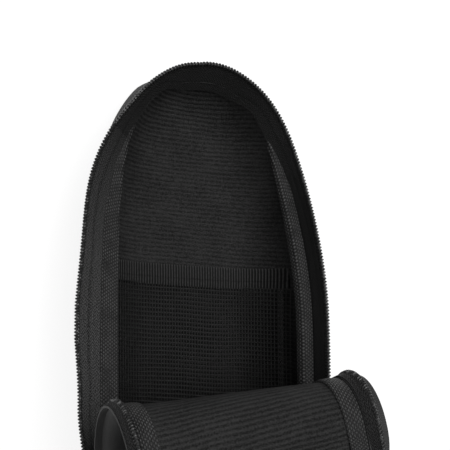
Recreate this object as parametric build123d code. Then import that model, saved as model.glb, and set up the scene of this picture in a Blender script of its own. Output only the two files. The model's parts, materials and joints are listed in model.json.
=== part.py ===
"""Zipped hard case for a stethoscope, open, with its padded lid rolled down over the lower third.

The case lies on its back. +Z points out of the back panel, +Y to the arched end, +X to the right.
The origin is the centre of the back's flat face. Lengths are millimetres, angles are degrees.
Everything is first modelled with the lid closed, then the lid's pieces are folded open.
"""
import os
from math import asin, cos, pi, radians, sin, sqrt

from build123d import *

os.makedirs("parts", exist_ok=True)

# ---------------------------------------------------------------- driving dimensions
SHELL_HALF_WIDTH = 61.0     # outside of the moulded shell
ARCH_START_Y = -10.0        # the straight sides end here and the arch begins
ARCH_LENGTH = 163.0         # from there to the arched end
ARCH_POWER = 2.5            # squareness of the arch
HEEL_START_Y = -75.0        # the straight sides end here and the heel begins
HEEL_LENGTH = 80.0
HEEL_POWER = 2.6
DEPTH = 70.0                # closed case, back to front
BACK_RADIUS = 18.0          # rounding between the back and the walls
FRONT_RADIUS = 9.0          # rounding between the lid's face and its walls

COVER_THICKNESS = 0.9       # woven nylon outside
CORE_THICKNESS = 3.9        # moulded foam board
LINING_THICKNESS = 1.2      # ribbed padded lining

ZIPPER_ROOM = 17.5          # between the body's edge and the lid's, beside the fold
BODY_EDGE_DROP = 15.0       # how far that edge falls towards the arched end
LID_EDGE_DROP = 8.0         # how far the lid's edge falls towards the arched end
DROP_START_Y = 16.0
DROP_END_Y = 110.0

FOLD_Y = -45.0              # first fold line, on the centre line
FOLD_SKEW = 6.0             # the fold lines rise to the right by this angle
FOLD_COUNT = 6              # fold lines across the lid
FOLD_ANGLE = 30.0           # each one opens by this
FOLD_PITCH = 11.4           # from one fold line to the next
FOLD_GAP = 0.5              # between neighbouring pieces of foam board

BODY_BINDING_WIDTH = 9.5    # woven edge binding over the body's wall
LID_BINDING_WIDTH = 9.5
LID_BINDING_INSET = 4.0     # from the lid's edge to its binding
BINDING_THICKNESS = 1.5
BODY_BINDING_INSET = 1.3    # from the shell's outside to its binding

TAPE_WIDTH = 10.5           # zipper tape, from the binding to the middle of the coil
TAPE_THICKNESS = 0.8
TAPE_INSET = 0.8            # from the shell's outside to the tape's seam
TAPE_SEAM = 0.5             # width of tape hidden by that seam
COIL_RADIUS = 1.5
COIL_STEP = 3.4             # between the two coils when they are zipped
ZIPPER_END_Y = -75.0        # both ends of the zipper
LOOSE_TAPE_END_Y = 55.0     # the left tape hangs loose up to here
LOOSE_TAPE_LEAN = 8.0       # rest angle of the loose left tape above the horizontal
UPRIGHT_TAPE_LEAN = 65.0    # angle of the tape at the right, and of the left one when zipped

HEM_OVERHANG = 6.0          # border of the lid beyond the shell, beside the fold
HEM_THICKNESS = 1.2
HEM_BOTTOM_Y = -58.0        # the fixed front's border stops here, clear of the sliders
HEM_COIL_INSET = 0.7        # from the lid's edge to the middle of its turned-in coil

POCKET_TOP_Y = 47.0         # top of the elastic band, on the centre line
POCKET_SKEW = -3.3          # degrees that the band is sewn off level
POCKET_BAND_HEIGHT = 11.5
POCKET_BAND_THICKNESS = 1.6
POCKET_BOTTOM_Y = -138.0
POCKET_Z = 9.0
MESH_THICKNESS = 0.8

SLIDER_Y = -68.0            # where the sliders are parked
SLIDER_LENGTH = 13.0
SLIDER_WIDTH = 7.4
SLIDER_THICKNESS = 6.0
SLIDER_PLATE = 1.0
PULL_LENGTH = 26.0
PULL_WIDTH = 6.4
PULL_THICKNESS = 1.6
BAIL_HEIGHT = 4.2           # the small bridge on a slider that holds its pull
BAIL_LENGTH = 5.6
BAIL_WIDTH = 1.6
BAIL_HOLE_RADIUS = 1.25
PIN_RADIUS = 0.8
STOP_LENGTH = 4.0
STOP_WIDTH = 4.2

FIT = 0.2                   # clearance between soft neighbours
RUNNING_FIT = 0.45          # clearance of the coil in its slider
ARCH_SAMPLES = 16
ARCH_STATIONS = 44          # tape sections round the arch

WALL = COVER_THICKNESS + CORE_THICKNESS + LINING_THICKNESS
LID_EDGE_Z = DEPTH - WALL
BODY_EDGE_Z = LID_EDGE_Z - ZIPPER_ROOM
PIVOT_V = FOLD_Y * cos(radians(FOLD_SKEW))
FLAP_V = PIVOT_V + (FOLD_COUNT - 1) * FOLD_PITCH
FAR = 400.0


# ---------------------------------------------------------------- outlines and walls
def superellipse(half_width, length, power, angle):
    """Point of a superellipse, with angle in radians from +X."""
    c, s = cos(angle), sin(angle)
    x = half_width * (1 if c >= 0 else -1) * abs(c) ** (2 / power)
    y = length * (1 if s >= 0 else -1) * abs(s) ** (2 / power)
    return x, y


def outline(inset):
    """Closed plan outline: arch, straight left side, heel, straight right side."""
    half = SHELL_HALF_WIDTH - inset
    angles = [pi * i / ARCH_SAMPLES for i in range(ARCH_SAMPLES + 1)]
    arch = [superellipse(half, ARCH_LENGTH - inset, ARCH_POWER, a) for a in angles]
    heel = [superellipse(half, HEEL_LENGTH - inset, HEEL_POWER, pi + a) for a in angles]
    arch = [(x, ARCH_START_Y + y) for x, y in arch]
    heel = [(x, HEEL_START_Y + y) for x, y in heel]
    edges = [
        Spline(*arch, tangents=[(0, 1), (0, -1)]),
        Line(arch[-1], heel[0]),
        Spline(*heel, tangents=[(0, -1), (0, 1)]),
        Line(heel[-1], arch[0]),
    ]
    return make_face(edges)


def slab(inset, bottom, top):
    """The outline drawn up from one height to another."""
    return Pos(0, 0, bottom) * extrude(outline(inset), top - bottom)


def pod(inset):
    """The whole closed case, shrunk by a wall thickness on every side."""
    block = slab(inset, inset, DEPTH - inset)
    ends = block.edges().group_by(Axis.Z)
    block = fillet(ends[-1], FRONT_RADIUS - inset)
    ends = block.edges().group_by(Axis.Z)
    return fillet(ends[0], BACK_RADIUS - inset)


def smooth(y):
    """0 beside the fold, 1 at the arched end, with no kink at either end."""
    u = min(max((y - DROP_START_Y) / (DROP_END_Y - DROP_START_Y), 0), 1)
    return u * u * (3 - 2 * u)


def body_edge(y):
    return BODY_EDGE_Z - BODY_EDGE_DROP * smooth(y)


def lid_edge(y):
    return LID_EDGE_Z - LID_EDGE_DROP * smooth(y)


def under(height):
    """Everything below a height that varies along Y."""
    ys = [DROP_START_Y + (DROP_END_Y - DROP_START_Y) * i / 6 for i in range(7)]
    curve = [(y, height(y)) for y in ys]
    edges = [
        Line((-FAR, height(-FAR)), curve[0]),
        Spline(*curve, tangents=[(1, 0), (1, 0)]),
        Line(curve[-1], (FAR, height(FAR))),
        Line((FAR, height(FAR)), (FAR, -FAR)),
        Line((FAR, -FAR), (-FAR, -FAR)),
        Line((-FAR, -FAR), (-FAR, height(-FAR))),
    ]
    side = Plane(origin=(-FAR / 2, 0, 0), x_dir=(0, 1, 0), z_dir=(1, 0, 0))
    return extrude(side * make_face(edges), FAR)


def edge_layer(outer, inner, height, low, high):
    """A band of the plan between two insets, following an edge height."""
    band = slab(outer, -1, DEPTH + 1) - slab(inner, -2, DEPTH + 2)
    return band & under(lambda y: height(y) + high) - under(lambda y: height(y) + low)


def between_y(low, high):
    return Pos(0, (low + high) / 2, DEPTH / 2) * Box(FAR, high - low, 2 * FAR)


def between_v(low, high):
    """The strip of the lid between two lines parallel to its fold lines."""
    strip = Pos(0, (low + high) / 2, DEPTH / 2) * Box(FAR, high - low, 2 * FAR)
    return Rot(0, 0, FOLD_SKEW) * strip


# ---------------------------------------------------------------- folding
def pivot(index):
    """Fold line number index, counted from 1, with the lid closed."""
    v = PIVOT_V + (index - 1) * FOLD_PITCH
    a = radians(FOLD_SKEW)
    return Axis((-v * sin(a), v * cos(a), DEPTH), (cos(a), sin(a), 0))


def folded(shape, folds):
    """Carry a piece of the closed lid back over the first few fold lines."""
    for index in range(folds, 0, -1):
        shape = shape.rotate(pivot(index), FOLD_ANGLE)
    return shape


# ---------------------------------------------------------------- zipper tape and coil
def rim_point(angle):
    """Point and outward direction on the arch of the shell, where the tape is sewn."""
    half = SHELL_HALF_WIDTH - TAPE_INSET
    length = ARCH_LENGTH - TAPE_INSET
    x, y = superellipse(half, length, ARCH_POWER, angle)
    nx = abs(x / half) ** (ARCH_POWER - 1) / half * (1 if x >= 0 else -1)
    ny = abs(y / length) ** (ARCH_POWER - 1) / length
    size = sqrt(nx * nx + ny * ny)
    return x, ARCH_START_Y + y, Vector(nx / size, ny / size, 0)


def side_point(y, left):
    """The same on one of the straight sides."""
    side = -1 if left else 1
    return side * (SHELL_HALF_WIDTH - TAPE_INSET), y, Vector(side, 0, 0)


def upright_reach(out):
    """How far the zipped tape leans out: most at the sides, a little at the top."""
    return TAPE_WIDTH * cos(radians(UPRIGHT_TAPE_LEAN)) * abs(out.X) ** 3 + 1.2 * out.Y ** 8


def loose_reach(out):
    """The same for the left side at rest, where the tape lies loose."""
    share = (max(0, abs(out.X) - 0.8) / 0.2) ** 0.7
    loose = TAPE_WIDTH * cos(radians(LOOSE_TAPE_LEAN))
    return upright_reach(out) * (1 - share) + loose * share


def body_section(x, y, out, reach):
    """Root, coil and outward direction of the body's tape at one point of the rim."""
    root = Vector(x, y, body_edge(y) + BINDING_THICKNESS / 2)
    rise = sqrt(TAPE_WIDTH ** 2 - reach ** 2)
    return root, root + out * reach + Vector(0, 0, rise), out


def lid_section(x, y, out):
    """The flap's tape, whose coil lies against the body's coil when zipped."""
    root = Vector(x, y, lid_edge(y) - TAPE_THICKNESS)
    body_coil = body_section(x, y, out, upright_reach(out))[1]
    return root, body_coil + Vector(0, 0, COIL_STEP), out


def ring(centre, out, corners):
    """A polygon across the rim, its corners given as (outward, up) from a centre."""
    points = [centre + out * a + Vector(0, 0, b) for a, b in corners]
    return make_face(Polyline(*points, close=True))


def ribbon(sections):
    """Zipper tape: a thin strip from the binding to the side of the coil."""
    rings = []
    for root, coil, out in sections:
        reach = (coil - root).dot(out)
        rise = coil.Z - root.Z
        length = sqrt(reach ** 2 + rise ** 2)
        a, b = reach / length, rise / length
        end = length - COIL_RADIUS - 0.02
        half = TAPE_THICKNESS / 2
        corners = [(TAPE_SEAM, half), (end, half), (end, -half), (TAPE_SEAM, -half)]
        rings.append(ring(root, out, [(s * a - t * b, s * b + t * a) for s, t in corners]))
    return loft(rings, ruled=True)


def bead(sections):
    """Zipper coil: a six-sided bead along the free edge of its tape."""
    corners = [(COIL_RADIUS * cos(pi * k / 3), COIL_RADIUS * sin(pi * k / 3)) for k in range(6)]
    rings = []
    for root, coil, out in sections:
        reach = (coil - root).dot(out)
        rise = coil.Z - root.Z
        length = sqrt(reach ** 2 + rise ** 2)
        a, b = reach / length, rise / length
        rings.append(ring(coil, out, [(s * a - t * b, s * b + t * a) for s, t in corners]))
    return loft(rings, ruled=True)


def save(shape, name):
    shapes = shape if isinstance(shape, (list, tuple)) else [shape]
    solids = [solid for item in shapes for solid in item.solids()]
    export_step(Compound(children=solids) if len(solids) > 1 else solids[0], f"parts/{name}.step")
    print(name, len(solids))


# ---------------------------------------------------------------- moulded layers
def make_layers():
    """Cover, foam board and lining of the whole closed case."""
    steps = [0, COVER_THICKNESS, COVER_THICKNESS + CORE_THICKNESS, WALL]
    pods = [pod(step) for step in steps]
    names = ["cover", "core", "lining"]
    return {name: pods[i] - pods[i + 1] for i, name in enumerate(names)}, pods[-1]


def make_body(layers, hollow):
    """The deep half that holds the stethoscope, with its pocket."""
    below = under(body_edge)
    for name, layer in layers.items():
        save(layer & below, f"body_{name}")
    inner = BODY_BINDING_INSET + BODY_BINDING_WIDTH
    binding = edge_layer(BODY_BINDING_INSET, inner, body_edge, 0, BINDING_THICKNESS)
    save(binding, "body_binding")

    inside = hollow & slab(WALL + FIT, 0, DEPTH)
    seam_y = POCKET_TOP_Y - POCKET_BAND_HEIGHT
    skewed = Rot(0, 0, POCKET_SKEW)
    sheet = inside & between_y(POCKET_BOTTOM_Y, FAR) & skewed * between_y(-FAR, seam_y)
    level = Pos(0, 0, POCKET_Z)
    save(sheet & level * Box(FAR, FAR, MESH_THICKNESS), "pocket_mesh")
    band = inside & skewed * between_y(seam_y, POCKET_TOP_Y)
    save(band & level * Box(FAR, FAR, POCKET_BAND_THICKNESS), "pocket_band")

    wall = slab(0, BODY_EDGE_Z, LID_EDGE_Z) - slab(HEM_THICKNESS, 0, DEPTH)
    save(wall & between_y(-FAR, ZIPPER_END_Y), "heel_gusset")


def make_front(layers):
    """The lid: a fixed lower part, the short boards of the roll, and the flap."""
    above = Pos(0, 0, DEPTH / 2) * Box(FAR, FAR, FAR) - under(lid_edge)
    gap = FOLD_GAP / 2
    strips = [("front", between_v(-FAR, PIVOT_V - gap), 0)]
    for k in range(1, FOLD_COUNT):
        start = PIVOT_V + (k - 1) * FOLD_PITCH
        strips.append((f"fold_{k}", between_v(start + gap, start + FOLD_PITCH - gap), k))
    strips.append(("flap", between_v(FLAP_V + gap, FAR), FOLD_COUNT))

    lid_layers = {name: layer & above for name, layer in layers.items()}
    inner = LID_BINDING_INSET + LID_BINDING_WIDTH
    lid_layers["binding"] = edge_layer(LID_BINDING_INSET, inner, lid_edge, -BINDING_THICKNESS, 0)
    for strip_name, strip, folds in strips:
        for name, layer in lid_layers.items():
            piece = layer & strip
            save(folded(piece, folds), f"{strip_name}_{name}")

    hem = slab(-HEM_OVERHANG, LID_EDGE_Z - HEM_THICKNESS, LID_EDGE_Z) - slab(2, 0, DEPTH)
    low = LID_EDGE_Z - HEM_THICKNESS - TAPE_THICKNESS
    inset = HEM_COIL_INSET + COIL_RADIUS
    hem += slab(0.3 - HEM_OVERHANG, low, LID_EDGE_Z - HEM_THICKNESS) - slab(inset, 0, DEPTH)
    hem += slab(HEM_COIL_INSET - COIL_RADIUS, low - 2 * COIL_RADIUS, low) - slab(inset, 0, DEPTH)
    for strip_name, strip, folds in strips[:-1]:
        piece = hem & strip & between_y(HEM_BOTTOM_Y, FAR)
        save(folded(piece, folds), f"{strip_name}_border")


def make_zipper():
    """Tapes and coils: the body's, the loose one at its left, and the flap's."""
    sides = [ZIPPER_END_Y, ARCH_START_Y]
    share = (LOOSE_TAPE_END_Y - ARCH_START_Y) / (ARCH_LENGTH - TAPE_INSET)
    loose_end = pi - asin(share ** (ARCH_POWER / 2))
    angles = [pi * i / ARCH_STATIONS for i in range(1, ARCH_STATIONS)]
    angles += [loose_end - 0.001, loose_end + 0.001]
    arch = [rim_point(angle) for angle in sorted(angles)]
    right = [side_point(y, False) for y in sides]
    left = [side_point(y, True) for y in reversed(sides)]

    def is_loose(point):
        return point[0] < 0 and point[1] < LOOSE_TAPE_END_Y

    fixed = [p for p in arch if not is_loose(p)]
    loose = [p for p in arch if is_loose(p)]
    fixed_path = [body_section(*p, upright_reach(p[2])) for p in right]
    fixed_path += [
        body_section(*p, loose_reach(p[2]) if p[0] < 0 else upright_reach(p[2])) for p in fixed
    ]
    loose_path = [body_section(*p, loose_reach(p[2])) for p in loose + left]
    save(ribbon(fixed_path), "body_tape")
    save(bead(fixed_path), "body_coil")
    save(ribbon(loose_path), "loose_tape")
    save(bead(loose_path), "loose_coil")

    flap = between_v(FLAP_V + FOLD_GAP / 2, FAR)
    lid_path = [lid_section(*p) for p in right[1:] + arch + left[:1]]
    save(folded(ribbon(lid_path) & flap, FOLD_COUNT), "flap_tape")
    save(folded(bead(lid_path) & flap, FOLD_COUNT), "flap_coil")


# ---------------------------------------------------------------- sliders and pulls
def zipper_plane(lean, y):
    """Across the right-hand tape at its coil: X outward through it, Z along it."""
    a = radians(lean)
    x = SHELL_HALF_WIDTH - TAPE_INSET + TAPE_WIDTH * cos(a)
    z = BODY_EDGE_Z + BINDING_THICKNESS / 2 + TAPE_WIDTH * sin(a)
    return Plane(origin=(x, y, z), x_dir=(sin(a), 0, -cos(a)), z_dir=(cos(a), 0, sin(a)))


def slider():
    """Two plates joined by a wedge at the front, with a channel for the coil."""
    channel = 2 * (COIL_RADIUS + RUNNING_FIT)
    slot = TAPE_THICKNESS + 2 * RUNNING_FIT
    block = Box(SLIDER_THICKNESS, SLIDER_LENGTH, SLIDER_WIDTH)
    block = fillet(block.edges().filter_by(Axis.X), 1.6)
    block -= Box(channel, SLIDER_LENGTH + 2, channel)
    block -= Pos(0, 0, -SLIDER_WIDTH / 2) * Box(slot, SLIDER_LENGTH + 2, SLIDER_WIDTH)
    open_length = SLIDER_LENGTH * 0.65
    mouth = Box(SLIDER_THICKNESS - 2 * SLIDER_PLATE, open_length, SLIDER_WIDTH)
    block -= Pos(0, (open_length - SLIDER_LENGTH) / 2 - 0.01, SLIDER_WIDTH / 2) * mouth
    pin_x = SLIDER_THICKNESS / 2 + BAIL_HEIGHT - BAIL_HOLE_RADIUS - 0.8
    bail = Pos((SLIDER_THICKNESS + BAIL_HEIGHT) / 2, 0, 0) * Box(BAIL_HEIGHT, BAIL_LENGTH, BAIL_WIDTH)
    bail = fillet(bail.edges().filter_by(Axis.Z).group_by(Axis.X)[-1], 1.8)
    return block + (bail - Pos(pin_x, 0, 0) * Cylinder(BAIL_HOLE_RADIUS, 2 * BAIL_WIDTH)), pin_x


def pull(pin_x):
    """A tab with a fork at its end, whose cross pin runs through the bail."""
    start = BAIL_LENGTH / 2 + PIN_RADIUS + RUNNING_FIT
    tab = Pos(0, -(start + PULL_LENGTH) / 2, 0) * Box(PULL_THICKNESS, PULL_LENGTH - start, PULL_WIDTH)
    tab = fillet(tab.edges().filter_by(Axis.X), 1.4)
    arm_width = (PULL_WIDTH - BAIL_WIDTH) / 2 - RUNNING_FIT
    arm = Box(PULL_THICKNESS, start + 2, arm_width)
    shape = tab + Cylinder(PIN_RADIUS, PULL_WIDTH)
    for side in (-1, 1):
        shape += Pos(0, -(start + 2) / 2, side * (PULL_WIDTH - arm_width) / 2) * arm
    return Pos(pin_x, 0, 0) * shape


def make_hardware():
    """Sliders, pulls and end stops; the left ones are mirrored from the right."""
    body, pin_x = slider()
    tab = pull(pin_x)
    stop = Box(STOP_WIDTH, STOP_LENGTH, STOP_WIDTH)
    for side, lean in (("right", UPRIGHT_TAPE_LEAN), ("left", LOOSE_TAPE_LEAN)):
        parked = zipper_plane(lean, SLIDER_Y)
        pieces = {"slider": parked * body, "pull": parked * tab}
        pieces["stop"] = zipper_plane(lean, ZIPPER_END_Y - STOP_LENGTH / 2) * stop
        for name, piece in pieces.items():
            save(mirror(piece, Plane.YZ) if side == "left" else piece, f"{name}_{side}")


layers, hollow = make_layers()
make_body(layers, hollow)
make_front(layers)
make_zipper()
make_hardware()
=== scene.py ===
# %% [markdown]
# # A zipped hard case with its lid rolled down
# The case is a moulded foam shell under woven nylon, with a ribbed lining, a mesh pocket and a
# long nylon zipper. The CAD model is loaded first and stays where it is: it says where
# everything goes and how it moves. What is made here is the fabric that one sees.

# %% Load the frame
import json
import math
from bisect import bisect_right

import bpy
from mathutils import Matrix, Vector, noise

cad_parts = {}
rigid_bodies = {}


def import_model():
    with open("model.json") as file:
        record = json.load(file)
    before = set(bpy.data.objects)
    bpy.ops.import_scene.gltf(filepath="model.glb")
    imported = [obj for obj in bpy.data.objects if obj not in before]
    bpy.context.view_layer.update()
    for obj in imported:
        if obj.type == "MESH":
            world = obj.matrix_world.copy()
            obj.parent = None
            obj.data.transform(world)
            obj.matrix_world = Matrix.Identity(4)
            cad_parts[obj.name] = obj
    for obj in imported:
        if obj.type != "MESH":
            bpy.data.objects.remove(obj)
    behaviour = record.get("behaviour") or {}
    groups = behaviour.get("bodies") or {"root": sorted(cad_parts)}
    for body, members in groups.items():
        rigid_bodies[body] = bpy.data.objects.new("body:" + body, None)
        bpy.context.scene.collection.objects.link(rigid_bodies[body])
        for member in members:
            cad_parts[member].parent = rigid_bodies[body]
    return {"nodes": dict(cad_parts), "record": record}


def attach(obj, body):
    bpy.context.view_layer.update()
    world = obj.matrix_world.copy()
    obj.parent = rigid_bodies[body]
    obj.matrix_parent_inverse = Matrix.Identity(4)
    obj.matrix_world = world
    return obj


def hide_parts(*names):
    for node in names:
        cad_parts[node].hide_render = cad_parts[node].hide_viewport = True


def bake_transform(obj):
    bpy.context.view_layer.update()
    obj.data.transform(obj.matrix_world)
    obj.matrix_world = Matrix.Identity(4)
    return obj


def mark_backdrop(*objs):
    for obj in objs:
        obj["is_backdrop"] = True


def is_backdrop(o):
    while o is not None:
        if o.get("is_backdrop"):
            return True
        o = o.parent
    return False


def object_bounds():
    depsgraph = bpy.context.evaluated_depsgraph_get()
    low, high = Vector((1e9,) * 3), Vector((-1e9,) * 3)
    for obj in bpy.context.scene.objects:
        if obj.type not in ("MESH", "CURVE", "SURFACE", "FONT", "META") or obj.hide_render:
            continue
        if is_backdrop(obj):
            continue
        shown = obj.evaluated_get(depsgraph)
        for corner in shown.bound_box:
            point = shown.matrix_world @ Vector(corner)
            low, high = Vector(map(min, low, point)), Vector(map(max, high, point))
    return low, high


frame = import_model()
cad_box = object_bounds()
print("nodes", len(frame["nodes"]))

# %% [markdown]
# ## The sizes that the fabric follows
# A case like this is designed from a few sizes: its plan, its depth and the thickness of its
# padding. They could be measured off the CAD meshes, but named values are easier to read and to
# change. All lengths are millimetres, and become metres when a mesh is written.

# %% Driving sizes
MM = 0.001
HALF_WIDTH = 61.0
ARCH_Y, ARCH_LENGTH, ARCH_POWER = -10.0, 163.0, 2.5
HEEL_Y, HEEL_LENGTH, HEEL_POWER = -75.0, 80.0, 2.6
DEPTH, WALL = 70.0, 6.0
BACK_RADIUS, FRONT_RADIUS = 18.0, 9.0
print("closed case", 2 * HALF_WIDTH, "x", ARCH_LENGTH + HEEL_LENGTH + ARCH_Y - HEEL_Y, "x", DEPTH)

# %% [markdown]
# ## The outline of the case
# Seen from the front, the case has an arch at the top, a blunter heel, and straight sides
# between them. Each end could be drawn as a spline, but a superellipse needs just one power to
# set how square it is, and its outward direction is known exactly at every point.

# %% Outline
def superellipse(half, length, power, angle):
    c, s = math.cos(angle), math.sin(angle)
    x = math.copysign(abs(c) ** (2 / power), c) * half
    return x, math.copysign(abs(s) ** (2 / power), s) * length


def plan(section, share, inset):
    """Point on the outline. Sections 0 to 3 are right side, arch, left side and heel."""
    half = HALF_WIDTH - inset
    if section == 0:
        return half, HEEL_Y + (ARCH_Y - HEEL_Y) * share
    if section == 2:
        return -half, ARCH_Y + (HEEL_Y - ARCH_Y) * share
    if section == 1:
        x, y = superellipse(half, ARCH_LENGTH - inset, ARCH_POWER, math.pi * share)
        return x, ARCH_Y + y
    x, y = superellipse(half, HEEL_LENGTH - inset, HEEL_POWER, math.pi * (1 + share))
    return x, HEEL_Y + y


def half_width(y, inset):
    """Half the width of the outline at one y."""
    half = HALF_WIDTH - inset
    if y > ARCH_Y:
        share = (y - ARCH_Y) / (ARCH_LENGTH - inset)
        return half * max(0.0, 1 - share ** ARCH_POWER) ** (1 / ARCH_POWER)
    if y < HEEL_Y:
        share = (HEEL_Y - y) / (HEEL_LENGTH - inset)
        return half * max(0.0, 1 - share ** HEEL_POWER) ** (1 / HEEL_POWER)
    return half


print("half width at y = 100:", round(half_width(100, 0), 1))

# %% [markdown]
# ## Walking round the rim
# Tape, binding and teeth are sewn on at an even pace, so they need even steps of length. A
# superellipse has no formula for that. The outline is measured once in short straight pieces,
# and any length is then looked up between two of them.

# %% Steps of arc length
SAMPLES_PER_SECTION = 2400


def build_stations():
    """Steps round the outline, each as (arc length, section, share)."""
    samples = []
    travelled, last = 0.0, None
    for section in range(4):
        for i in range(SAMPLES_PER_SECTION):
            share = i / SAMPLES_PER_SECTION
            point = plan(section, share, 0.0)
            if last:
                travelled += math.hypot(point[0] - last[0], point[1] - last[1])
            samples.append((travelled, section, share))
            last = point
    return samples, travelled


SAMPLES, ROUND = build_stations()
LENGTHS = [s for s, _, _ in SAMPLES]
ARCH_START, LEFT_START, HEEL_START = (
    next(s for s, section, _ in SAMPLES if section == number) for number in (1, 2, 3)
)


def station(s):
    """Section and share at an arc length, between two samples."""
    s = s % ROUND
    low = min(bisect_right(LENGTHS, s) - 1, len(SAMPLES) - 2)
    a, b = SAMPLES[low], SAMPLES[low + 1]
    if b[1] != a[1] or b[0] == a[0]:
        return a[1], a[2]
    return a[1], a[2] + (b[2] - a[2]) * (s - a[0]) / (b[0] - a[0])


def rim(s, inset=0.0):
    """Plan point and outward direction at an arc length."""
    section, share = station(s)
    x, y = plan(section, share, inset)
    if section in (0, 2):
        return Vector((x, y, 0)), Vector((1 if section == 0 else -1, 0, 0))
    power, base, length = (
        (ARCH_POWER, ARCH_Y, ARCH_LENGTH) if section == 1 else (HEEL_POWER, HEEL_Y, HEEL_LENGTH)
    )
    u, v = plan(section, share, 0.0)
    nx = math.copysign(abs(u / HALF_WIDTH) ** (power - 1) / HALF_WIDTH, u)
    ny = math.copysign(abs((v - base) / length) ** (power - 1) / length, v - base)
    return Vector((x, y, 0)), Vector((nx, ny, 0)).normalized()


print("round the rim", round(ROUND, 1), "mm")

# %% [markdown]
# ## How high the two edges stand
# The zipper climbs from the back of the case towards its front on the way to the fold, so both
# edges stand lower at the arch. The drop is eased at both ends, because tape that is sewn on
# flat can't take a kink.

# %% Edges of body and lid
BODY_EDGE, BODY_DROP = 46.5, 15.0
LID_EDGE, LID_DROP = DEPTH - WALL, 8.0
DROP_FROM, DROP_TO = 16.0, 110.0


def smooth(t):
    """0 up to 0 and 1 from 1, with no kink between."""
    t = min(max(t, 0.0), 1.0)
    return t * t * (3 - 2 * t)


def body_edge(y):
    return BODY_EDGE - BODY_DROP * smooth((y - DROP_FROM) / (DROP_TO - DROP_FROM))


def lid_edge(y):
    return LID_EDGE - LID_DROP * smooth((y - DROP_FROM) / (DROP_TO - DROP_FROM))


print("body edge", body_edge(0), "to", body_edge(150), "lid edge", lid_edge(0), "to", lid_edge(150))

# %% [markdown]
# ## Working on one piece at a time
# Blender's operators work on whatever is selected, and the CAD nodes come in selected. So each
# step first deselects everything and then picks its own piece. The same few lines would stand
# before every operator, and are kept in helpers instead.

# %% Helpers for operators
CREASE_ANGLE = math.radians(50)


def deselect():
    if bpy.context.mode != "OBJECT":
        bpy.ops.object.mode_set(mode="OBJECT")
    bpy.ops.object.select_all(action="DESELECT")


def activate(obj):
    deselect()
    obj.select_set(True)
    bpy.context.view_layer.objects.active = obj


def apply(obj, kind, **settings):
    """Adds a modifier with these settings and applies it."""
    activate(obj)
    modifier = obj.modifiers.new(kind.title(), kind)
    for key, value in settings.items():
        setattr(modifier, key, value)
    bpy.ops.object.modifier_apply(modifier=modifier.name)
    return obj


def in_edit_mode(obj, operator, **settings):
    """Runs one mesh operator on all of a piece."""
    activate(obj)
    bpy.ops.object.mode_set(mode="EDIT")
    bpy.ops.mesh.select_all(action="SELECT")
    operator(**settings)
    bpy.ops.object.mode_set(mode="OBJECT")
    return obj


def face_out(obj):
    """Normals outward, and smooth shading except over creases."""
    in_edit_mode(obj, bpy.ops.mesh.normals_make_consistent, inside=False)
    bpy.ops.object.shade_smooth_by_angle(angle=CREASE_ANGLE)
    return obj


print("creases sharper than", round(math.degrees(CREASE_ANGLE)), "degrees stay sharp")

# %% [markdown]
# ## Finishing a piece
# A sewn piece is cut from one cloth, stands in one place and moves with one part of the case.
# Here that is its material, the CAD node that it stands for and the body that it rides on. One
# function says all of it, so that no piece is left half finished.

# %% Material, body and node
def finish_piece(obj, material, slot, body, *nodes):
    obj.data.materials.clear()
    obj.data.materials.append(material)
    if body:
        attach(obj, body)
    if nodes:
        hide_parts(*nodes)
    return obj


# %% [markdown]
# ## One way to make every skin
# Cloth is a flat sheet that is laid over a form. A plain grid is added, and each of its points
# is moved to its place on the case. Its UV map unrolls the cloth in metres, so that weaves and
# ribs can follow the surface at their true size.

# %% Grid pieces
WELD = 0.02


def grid_piece(name, columns, rows, place):
    """A grid whose point (u, v) goes to place(u, v): position and place on the cloth, in mm."""
    deselect()
    bpy.ops.mesh.primitive_grid_add(x_subdivisions=columns, y_subdivisions=rows, size=2)
    obj = bpy.context.object
    obj.name = obj.data.name = name
    cloth = []
    for vertex in obj.data.vertices:
        u, v = (vertex.co.x + 1) / 2, (vertex.co.y + 1) / 2
        position, flat = place(u, v)
        vertex.co = Vector(position) * MM
        cloth.append((flat[0] * MM, flat[1] * MM))
    layer = obj.data.uv_layers[0]
    layer.name = "cloth"
    for loop in obj.data.loops:
        layer.data[loop.index].uv = cloth[loop.vertex_index]
    return in_edit_mode(obj, bpy.ops.mesh.remove_doubles, threshold=WELD * MM)


print("points within", WELD, "mm are welded")

# %% [markdown]
# ## Rolling the lid
# A padded cloth lid doesn't bend in corners. The frame folds over six fine hinges, and the cloth
# here follows the smooth roll that those hinges stand on. Each strip of it is shaped closed and
# then carried round the roll, which is simpler than shaping cloth that is already rolled.

# %% The roll as a map from the closed lid
hinges = [j for j in frame["record"]["behaviour"]["joints"] if j["name"].startswith("lid_fold")]
FOLD_AXIS = Vector(hinges[0]["axis"]).normalized()
ACROSS_FOLD = Vector((-FOLD_AXIS.y, FOLD_AXIS.x, 0))
FIRST_PIVOT, SECOND_PIVOT = (Vector(hinge["pos_m"]) for hinge in hinges[:2])
PITCH = (SECOND_PIVOT - FIRST_PIVOT).length / MM
BOARDS = [hinges[0]["parent"]] + [h["child"] for h in hinges]
FOLD_ANGLE = math.pi / len(hinges)
ROLL_RADIUS = PITCH / (2 * math.tan(FOLD_ANGLE / 2))
ROLL_START = (FIRST_PIVOT / MM).dot(ACROSS_FOLD) - PITCH / 2
ROLL_END = ROLL_START + len(hinges) * PITCH
ROLL_Z = DEPTH + ROLL_RADIUS


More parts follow.
